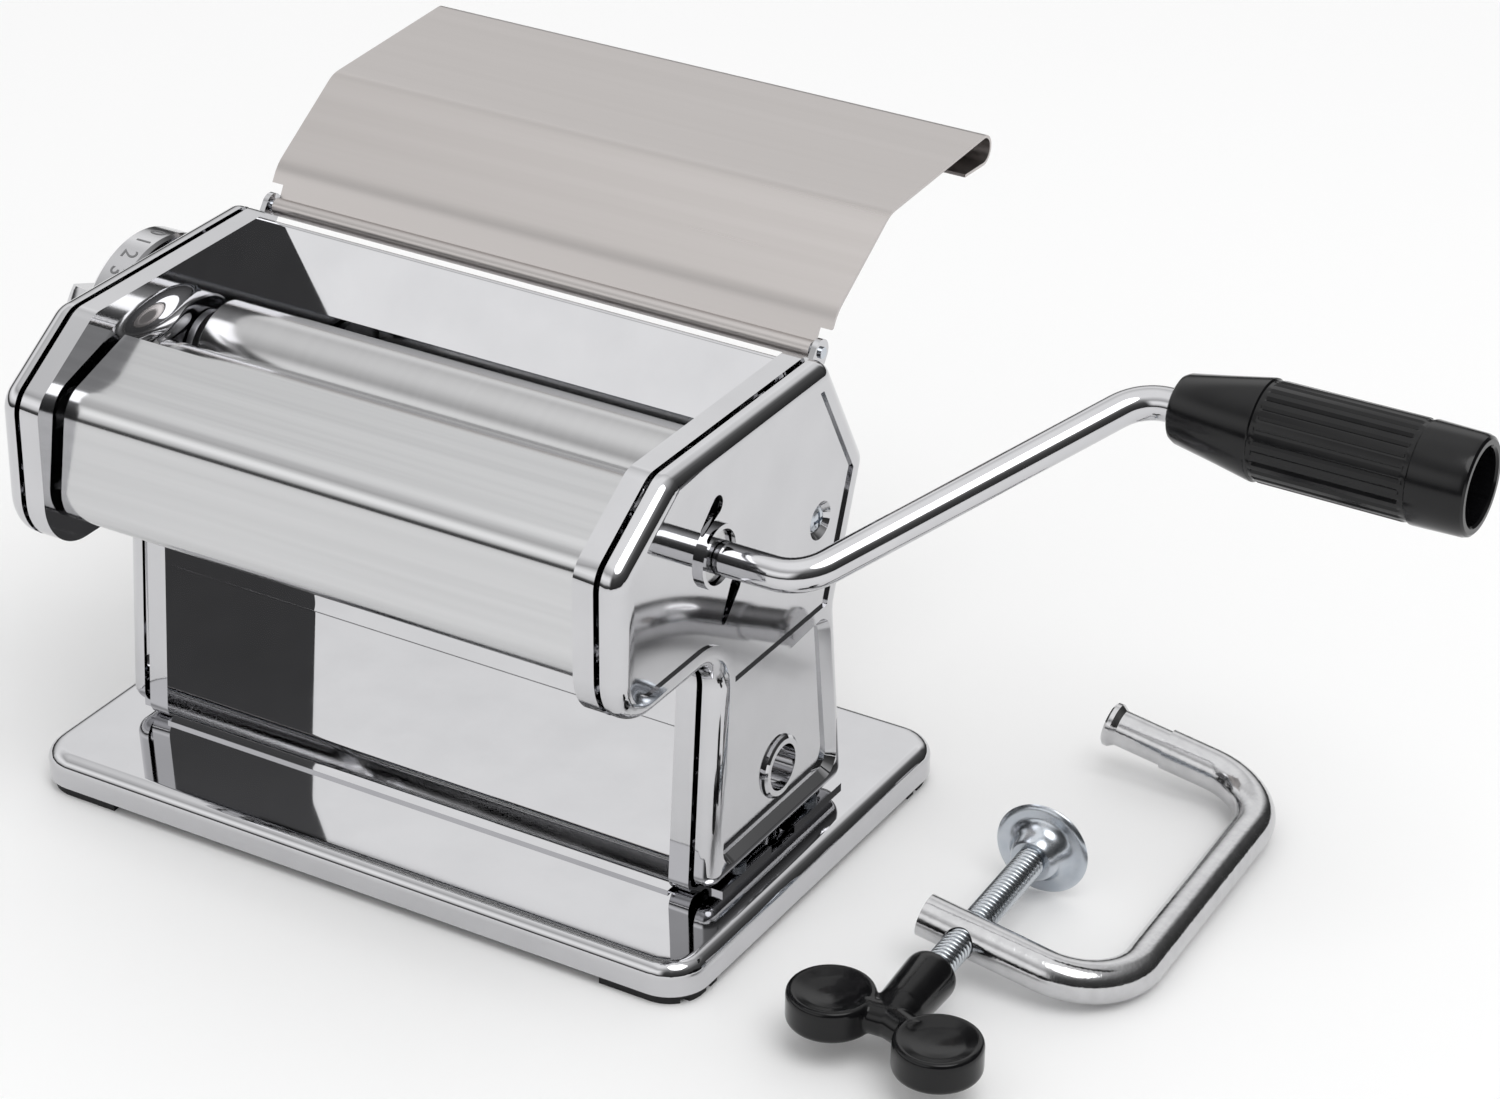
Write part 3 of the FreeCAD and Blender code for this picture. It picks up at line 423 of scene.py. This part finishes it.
@dataclass
class Clamp:
    """Thread, pad and wing knob of the table clamp, in the clamp's own tilted frame.

    Lengths are in millimetres and angles in degrees. An outline lists places along an axis with radii.
    """

    corner: tuple[float, float, float] = (188.5, -14.3, 5.7)
    turn: float = 2.4
    tilt: float = 10.5
    screw_inset: float = 39.5
    pitch: float = 1.5
    thread_low: float = -36.0
    thread_high: float = 41.5
    thread_run_out: float = 1.0
    thread_steps: int = 28
    tip_bevel: Station = (0.4, 0.5)
    core_radius: float = 3.25
    core_columns: int = 48
    ridge_radius: float = 0.62
    ridge_sides: int = 8
    crest_radius: float = 3.9
    pad_face: float = 44.8
    pad_columns: int = 72
    pad_outline: tuple[Station, ...] = (
        (8.0, 4.15), (8.0, 5.3), (7.4, 5.9), (5.0, 6.6), (3.2, 7.4), (2.2, 8.6), (1.7, 9.6), (1.9, 10.9),
        (1.6, 12.0), (0.9, 12.5), (0.3, 12.2), (0.0, 11.5), (0.0, 8.6), (1.2, 7.4), (1.6, 4.0))
    hub_outline: tuple[Station, ...] = (
        (-44.0, 3.0), (-42.0, 4.4), (-37.0, 6.2), (-21.0, 6.8), (-19.4, 6.6), (-19.0, 6.0))
    hub_columns: int = 48
    lobe_reach: float = 15.5
    lobe_drop: float = -45.0
    lobe_skew: float = 3.0
    lobe_columns: int = 64
    lobe_half: tuple[Station, ...] = (
        (2.4, 1.0), (2.6, 3.5), (3.2, 6.6), (4.0, 8.8), (4.4, 9.8), (4.1, 10.6), (3.2, 11.0))
    waist: float = -41.5
    neck_columns: int = 32
    neck_radii: tuple[float, float, float] = (4.4, 4.3, 4.3)
    neck_start: float = -1.0
    neck_middle: float = 0.4
    neck_short: float = 8.0
    blend_voxel: float = 0.32
    blend_passes: int = 14
    thread_crease: float = 50.0
    pad_crease: float = 40.0
    wing_crease: float = 60.0

    def place(self) -> Matrix:
        """Return the matrix from millimetres along the screw to the shared frame."""
        turned = Matrix.Rotation(math.radians(self.turn), 4, "Z")
        tilted = Matrix.Rotation(math.radians(self.tilt), 4, "Y")
        lay = Matrix.Translation(Vector(self.corner) * MM) @ (turned @ tilted)
        return lay @ Matrix.Translation((-self.screw_inset * MM, 0.0, 0.0))

    def along_screw(self) -> Matrix:
        """Return the placing matrix with the turning axis laid along the screw."""
        return self.place() @ Matrix.Rotation(math.radians(-90.0), 4, "X")

    def screw(self) -> None:
        """Model the threaded rod: a core with a round ridge screwed round it."""
        bevel_length, bevel_depth = self.tip_bevel
        core = Bench.turned("clamp_thread", [
            (self.thread_low, self.core_radius),
            (self.thread_high - bevel_length, self.core_radius),
            (self.thread_high, self.core_radius - bevel_depth)], self.core_columns)
        Bench.clear()
        bpy.ops.mesh.primitive_circle_add(vertices=self.ridge_sides, radius=self.ridge_radius * MM)
        ridge = bpy.context.object
        ridge.rotation_euler = (math.radians(90.0), 0.0, 0.0)
        ridge.location = ((self.crest_radius - self.ridge_radius) * MM, 0.0, self.thread_low * MM)
        Bench.settle(ridge)
        turns = int((self.thread_high - self.thread_low - self.thread_run_out) / self.pitch)
        Bench.apply(
            ridge, "SCREW", axis="Z", angle=math.tau, screw_offset=self.pitch * MM, iterations=turns,
            steps=self.thread_steps, render_steps=self.thread_steps, use_merge_vertices=False,
            use_normal_calculate=True)
        Bench.cap_holes(ridge)
        thread = Bench.join(core, ridge)
        Bench.put(thread, self.along_screw())
        Bench.smooth(thread, self.thread_crease)
        Bench.dress(thread, THREAD, "clamp_screw", "clamp_screw")

    def pad(self) -> None:
        """Turn the pressed pad with its dome and rolled rim, from depths below its face."""
        stations = [(self.pad_face - depth, radius) for depth, radius in self.pad_outline]
        pad = Bench.turned("clamp_pad_disc", stations, self.pad_columns)
        Bench.put(pad, self.along_screw())
        Bench.smooth(pad, self.pad_crease)
        Bench.dress(pad, ZINC, "clamp_pad", "clamp_pad")

    def lobe(self, centre: Vector) -> bpy.types.Object:
        """Turn one dished lobe of the knob.

        Args:
            centre: Middle of the lobe, in metres.

        Returns:
            The lobe at its place beside the hub.
        """
        under = [(-height, radius) for height, radius in self.lobe_half]
        lobe = Bench.turned("lobe", under + list(reversed(self.lobe_half)), self.lobe_columns)
        Bench.put(lobe, Matrix.Translation(centre))
        return lobe

    def neck(self, centre: Vector) -> bpy.types.Object:
        """Turn the web from the middle of the knob to one lobe.

        Args:
            centre: Middle of the lobe, in metres.

        Returns:
            The web at its place.
        """
        start = Vector((0.0, self.waist, 0.0)) * MM
        reach = centre - start
        length = reach.length / MM
        places = (self.neck_start, length * self.neck_middle, length - self.neck_short)
        neck = Bench.turned("neck", list(zip(places, self.neck_radii)), self.neck_columns)
        Bench.put(neck, Matrix.Translation(start) @ reach.to_track_quat("Z", "Y").to_matrix().to_4x4())
        return neck

    def wing(self) -> None:
        """Model the two-lobed knob as one moulding, blended by a remesh."""
        hub = Bench.turned("clamp_wings", self.hub_outline, self.hub_columns)
        Bench.put(hub, Matrix.Rotation(math.radians(-90.0), 4, "X"))
        parts = [hub]
        for side in (-1, 1):
            centre = Vector((side * self.lobe_reach, self.lobe_drop - side * self.lobe_skew, 0.0)) * MM
            parts += [self.lobe(centre), self.neck(centre)]
        wings = Bench.join(*parts)
        wings.name = "clamp_wings"
        Bench.apply(wings, "REMESH", mode="VOXEL", voxel_size=self.blend_voxel * MM)
        Bench.apply(wings, "SMOOTH", factor=0.5, iterations=self.blend_passes)
        level = Matrix.Rotation(math.radians(-self.tilt), 4, "Y")
        Bench.put(wings, self.place() @ level)
        Bench.smooth(wings, self.wing_crease)
        Bench.dress(wings, BLACK, "clamp_screw", "clamp_wing_knob")

    def build(self) -> None:
        """Model all pieces of the clamp."""
        self.screw()
        self.pad()
        self.wing()


@dataclass
class Cheeks:
    """Low pressed cheeks on the inner faces of the two inner plates, above the front roller.

    Lengths are in millimetres, and the middle is given by its depth and height in the shared frame.
    """

    face: float = 77.3
    middle: tuple[float, float] = (-33.0, 126.0)
    half_length: float = 21.0
    half_height: float = 8.5
    depth: float = 2.6
    sunk: float = 0.3
    rings: int = 16
    columns: int = 96
    crease: float = 50.0

    def build(self) -> None:
        """Turn a low dome, stretch it along the plate and set one on each plate."""
        stations = [(-self.sunk, self.half_length)]
        for ring in range(self.rings + 1):
            part = 1.0 - ring / (self.rings + 1)
            rise = self.depth * 0.5 * (1.0 + math.cos(math.pi * part))
            stations.append((rise, self.half_length * part))
        stretch = Matrix.Diagonal((1.0, self.half_height / self.half_length, 1.0, 1.0))
        for side, name in ((1, "left_cheek"), (-1, "right_cheek")):
            cheek = Bench.turned(name, stations, self.columns)
            # The dome's axis points into the trough and its long side runs from front to back.
            lay = Matrix(((0, 0, side, 0), (side, 0, 0, 0), (0, 1, 0, 0), (0, 0, 0, 1)))
            spot = Vector((-side * self.face, *self.middle)) * MM
            Bench.put(cheek, Matrix.Translation(spot) @ lay @ stretch)
            Bench.smooth(cheek, self.crease)
            Bench.dress(cheek, CHROME, "frame")


@dataclass
class Grip:
    """Fluted black grip with an open end, on the crank's outer arm, in millimetres."""

    axis: tuple[float, float] = (40.4, 138.1)
    nose: float = 171.4
    length: float = 76.6
    radius: float = 12.6
    bore: float = 9.5
    columns: int = 112
    flute_every: int = 4
    flute_depth: float = 0.55
    flute_margin: float = 1.6
    shoulder_place: float = 22.5
    ring_width: float = 14.0
    crease: float = 28.0

    def build(self) -> None:
        """Turn the grip, then press its flutes in."""
        nose = self.nose
        end = nose + self.length
        shoulder = nose + self.shoulder_place
        ring = end - self.ring_width
        full = self.radius
        bore = self.bore
        grip = Bench.turned("crank_grip_moulding", [
            (nose + 2.0, 4.35), (nose, 4.9), (nose, full - 5.4), (nose + 0.5, full - 4.6),
            (nose + 1.8, full - 3.9), (nose + 12.0, full - 2.0), (shoulder - 0.5, full), (shoulder, full),
            (shoulder + 0.35, full - 0.5), (shoulder + 1.2, full - 0.45), (shoulder + 2.0, full - 0.2),
            (ring - 2.0, full - 0.1), (ring - 1.2, full - 0.35), (ring - 0.4, full - 0.4), (ring, full),
            (ring + 0.4, full + 0.05), (end - 1.6, full - 0.25), (end - 0.5, full - 0.6), (end, full - 1.3),
            (end, bore + 0.5), (end - 0.6, bore), (end - 19.0, bore - 0.3)], self.columns)
        Bench.pick(grip)
        bpy.ops.object.mode_set(mode="EDIT")
        bpy.ops.mesh.select_all(action="DESELECT")
        bpy.ops.object.mode_set(mode="OBJECT")
        step = math.tau / self.columns
        for corner in grip.data.vertices:
            inside = shoulder + self.flute_margin < corner.co.z / MM < ring - self.flute_margin
            column = round(math.atan2(corner.co.y, corner.co.x) / step)
            corner.select = inside and column % self.flute_every == 0
        bpy.ops.object.mode_set(mode="EDIT")
        shrink = 1.0 - self.flute_depth / full
        bpy.ops.transform.resize(value=(shrink, shrink, 1.0), center_override=(0.0, 0.0, 0.0))
        bpy.ops.object.mode_set(mode="OBJECT")
        lay = Matrix.Translation((0.0, self.axis[0] * MM, self.axis[1] * MM))
        Bench.put(grip, lay @ Matrix.Rotation(math.radians(90.0), 4, "Y"))
        Bench.smooth(grip, self.crease)
        Bench.dress(grip, BLACK, "grip", "crank_grip")


@dataclass
class KnobNumbers:
    """Plain numbers round the rim of the adjusting knob, in millimetres and degrees; their dark grey is
    painted shade of the engraved numbers.
    """

    axis: tuple[float, float] = (-6.8, 109.8)
    radius: float = 26.0
    place: float = -97.6
    height: float = 4.6
    first_angle: float = 83.0
    step: float = 40.0 / 3.0
    count: int = 10
    type_size: float = 1.35
    inlay_half: float = 0.12
    inlay_sunk: float = 0.04

    def build(self) -> None:
        """Cut each number as a thin dark piece on the rim; the dark grey is painted shade of the engraved
        numbers.
        """
        pieces = []
        for number in range(self.count):
            Bench.clear()
            bpy.ops.object.text_add()
            text = bpy.context.object
            text.data.body = str(number)
            text.data.align_x = "CENTER"
            text.data.align_y = "CENTER"
            text.data.size = self.height * MM * self.type_size
            text.data.extrude = self.inlay_half * MM
            bpy.ops.object.convert(target="MESH")
            digit = bpy.context.object
            angle = math.radians(self.first_angle + number * self.step)
            out = Vector((0.0, math.cos(angle), math.sin(angle)))
            along = Vector((0.0, -math.sin(angle), math.cos(angle)))
            up = out.cross(along)
            turn = Matrix((along, up, out)).transposed().to_4x4()
            spot = Vector((self.place, *self.axis)) * MM + out * (self.radius - self.inlay_sunk) * MM
            Bench.put(digit, Matrix.Translation(spot) @ turn)
            pieces.append(digit)
        numbers = Bench.join(*pieces)
        numbers.name = "knob_numbers"
        Bench.dress(numbers, ENGRAVING_SHADE, "knob")


@dataclass
class Studio:
    """Floor, light, reflected tent and camera.

    Places are in metres and angles in degrees. Shades list heights on the tent with grey levels.
    """

    eye: tuple[float, float, float] = (0.5314, -0.7781, 0.5886)
    yaw: float = 30.58
    pitch: float = 28.90
    roll: float = 0.53
    lens: float = 100.9
    shift: float = 0.0152
    sensor: float = 36.0
    far_clip: float = 50.0
    floor_half: float = 9.0
    floor_tone: float = 0.95
    floor_rough: float = 0.9
    world_level: float = 0.82
    lamp_place: tuple[float, float, float] = (0.9, -0.5, 1.9)
    lamp_aim: tuple[float, float, float] = (0.05, 0.0, 0.05)
    lamp_width: float = 1.4
    lamp_power: float = 14.0
    tent_radius: float = 4.0
    front_to_back: tuple[float, float] = (-0.35, 0.35)
    left_to_right: tuple[float, float] = (0.02, 0.3)
    front_shades: tuple[tuple[float, float], ...] = (
        (0.0, 0.04), (0.13, 0.10), (0.23, 0.80), (0.42, 1.25), (0.54, 1.15), (0.68, 0.55), (0.80, 0.80),
        (0.90, 1.15))
    back_shades: tuple[tuple[float, float], ...] = (
        (0.0, 0.03), (0.18, 0.10), (0.31, 0.70), (0.46, 1.0), (0.58, 1.12), (0.72, 0.80), (0.82, 0.95),
        (0.92, 1.15))
    right_shades: tuple[tuple[float, float], ...] = (
        (0.0, 0.03), (0.30, 0.06), (0.52, 0.10), (0.70, 0.30), (0.88, 0.66), (0.97, 0.85))

    def camera(self) -> None:
        """Place the camera at the photograph's viewpoint."""
        yaw, pitch, roll = (math.radians(angle) for angle in (self.yaw, self.pitch, self.roll))
        level = math.cos(pitch)
        forward = Vector((-math.sin(yaw) * level, math.cos(yaw) * level, -math.sin(pitch)))
        flat_right = Vector((math.cos(yaw), math.sin(yaw), 0.0))
        flat_up = flat_right.cross(forward)
        right = math.cos(roll) * flat_right + math.sin(roll) * flat_up
        up = math.cos(roll) * flat_up - math.sin(roll) * flat_right
        bpy.ops.object.camera_add()
        camera = bpy.context.object
        turn = Matrix((right, up, -forward)).transposed().to_4x4()
        camera.matrix_world = Matrix.Translation(Vector(self.eye)) @ turn
        camera.data.lens = self.lens
        camera.data.sensor_width = self.sensor
        camera.data.shift_x = self.shift
        camera.data.clip_end = self.far_clip
        bpy.context.scene.camera = camera

    def floor(self) -> None:
        """Lay a pale floor."""
        Bench.clear()
        bpy.ops.mesh.primitive_plane_add(size=2 * self.floor_half)
        floor = bpy.context.object
        floor.name = "studio_floor"
        made = bpy.data.materials.new("pale_floor")
        made.use_nodes = True
        shader = made.node_tree.nodes["Principled BSDF"]
        shader.inputs["Base Color"].default_value = (self.floor_tone, self.floor_tone, self.floor_tone, 1.0)
        shader.inputs["Roughness"].default_value = self.floor_rough
        floor.data.materials.append(made)

    def tent(self) -> None:
        """Hang a shaded tent far out, seen only in the polished metal."""
        Bench.clear()
        bpy.ops.mesh.primitive_uv_sphere_add(segments=64, ring_count=32, radius=self.tent_radius)
        tent = bpy.context.object
        tent.name = "studio_tent"
        made = bpy.data.materials.new("tent_cloth")
        made.use_nodes = True
        nodes = made.node_tree.nodes
        links = made.node_tree.links
        nodes.remove(nodes["Principled BSDF"])
        place = nodes.new("ShaderNodeTexCoord")
        split = nodes.new("ShaderNodeSeparateXYZ")
        links.new(place.outputs["Object"], split.inputs["Vector"])
        height = nodes.new("ShaderNodeMapRange")
        height.inputs["From Max"].default_value = self.tent_radius
        links.new(split.outputs["Z"], height.inputs["Value"])
        front = self.shade(nodes, links, height, self.front_shades)
        back = self.shade(nodes, links, height, self.back_shades)
        right = self.shade(nodes, links, height, self.right_shades)
        left = self.blend(made, split.outputs["Y"], self.front_to_back, front, back)
        whole = self.blend(made, split.outputs["X"], self.left_to_right, left, right)
        glow = nodes.new("ShaderNodeEmission")
        links.new(whole, glow.inputs["Color"])
        links.new(glow.outputs["Emission"], nodes["Material Output"].inputs["Surface"])
        tent.data.materials.append(made)
        tent.visible_camera = False
        tent.visible_diffuse = False
        tent.visible_shadow = False

    def blend(
            self, made: bpy.types.Material, along: bpy.types.NodeSocket, reach: tuple[float, float],
            near: bpy.types.NodeSocket, far: bpy.types.NodeSocket) -> bpy.types.NodeSocket:
        """Blend two shades of the tent along one direction.

        Args:
            made: Material of the tent.
            along: Output that gives the place along the direction.
            reach: Where the blend starts and ends, as parts of the tent's radius.
            near: Colour before the blend.
            far: Colour after the blend.

        Returns:
            The blended colour output.
        """
        nodes = made.node_tree.nodes
        links = made.node_tree.links
        step = nodes.new("ShaderNodeMapRange")
        step.interpolation_type = "SMOOTHSTEP"
        step.inputs["From Min"].default_value = reach[0] * self.tent_radius
        step.inputs["From Max"].default_value = reach[1] * self.tent_radius
        links.new(along, step.inputs["Value"])
        mix = nodes.new("ShaderNodeMix")
        mix.data_type = "RGBA"
        links.new(step.outputs["Result"], mix.inputs["Factor"])
        colours = [socket for socket in mix.inputs if socket.type == "RGBA"]
        links.new(near, colours[0])
        links.new(far, colours[1])
        return next(socket for socket in mix.outputs if socket.type == "RGBA")

    @staticmethod
    def shade(
            nodes: bpy.types.Nodes, links: bpy.types.NodeLinks, height: bpy.types.Node,
            stops: Sequence[tuple[float, float]]) -> bpy.types.NodeSocket:
        """Add one grey ramp over the tent's height.

        Args:
            nodes: Nodes of the tent's material.
            links: Links of the tent's material.
            height: Node that gives the height, from 0 to 1.
            stops: Height and grey level of each stop.

        Returns:
            The grey colour output.
        """
        ramp = nodes.new("ShaderNodeValToRGB")
        bar = ramp.color_ramp.elements
        while len(bar) < len(stops):
            bar.new(0.5)
        for stop, (where, grey) in zip(bar, stops):
            stop.position = where
            stop.color = (grey, grey, grey, 1.0)
        links.new(height.outputs["Result"], ramp.inputs["Fac"])
        return ramp.outputs["Color"]

    def light(self) -> None:
        """Light the floor softly from a white world and one large lamp."""
        world = bpy.data.worlds.new("studio_world")
        world.use_nodes = True
        bpy.context.scene.world = world
        nodes = world.node_tree.nodes
        links = world.node_tree.links
        sky = nodes["Background"]
        sky.inputs["Color"].default_value = (1.0, 1.0, 1.0, 1.0)
        path = nodes.new("ShaderNodeLightPath")
        seen = nodes.new("ShaderNodeMath")
        seen.operation = "MAXIMUM"
        links.new(path.outputs["Is Camera Ray"], seen.inputs[0])
        links.new(path.outputs["Is Glossy Ray"], seen.inputs[1])
        level = nodes.new("ShaderNodeMapRange")
        level.inputs["To Min"].default_value = self.world_level
        level.inputs["To Max"].default_value = 1.0
        links.new(seen.outputs["Value"], level.inputs["Value"])
        links.new(level.outputs["Result"], sky.inputs["Strength"])
        Bench.clear()
        bpy.ops.object.light_add(type="AREA", location=self.lamp_place)
        lamp = bpy.context.object
        lamp.data.shape = "DISK"
        lamp.data.size = self.lamp_width
        lamp.data.energy = self.lamp_power
        aim = Vector(self.lamp_aim) - lamp.location
        lamp.rotation_euler = aim.to_track_quat("-Z", "Y").to_euler()

    def build(self) -> None:
        """Set up everything around the object."""
        bpy.context.scene.view_settings.view_transform = "Standard"
        self.floor()
        self.tent()
        self.light()
        self.camera()


def main() -> None:
    """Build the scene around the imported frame."""
    logging.basicConfig(level=logging.INFO)
    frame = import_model()
    polished = PolishedNodes(frame)
    for finish, names in NODE_FINISHES.items():
        polished.build(finish, names)
    Cheeks().build()
    Clamp().build()
    Grip().build()
    KnobNumbers().build()
    Studio().build()
    bpy.context.view_layer.update()


if __name__ == "__main__":
    main()
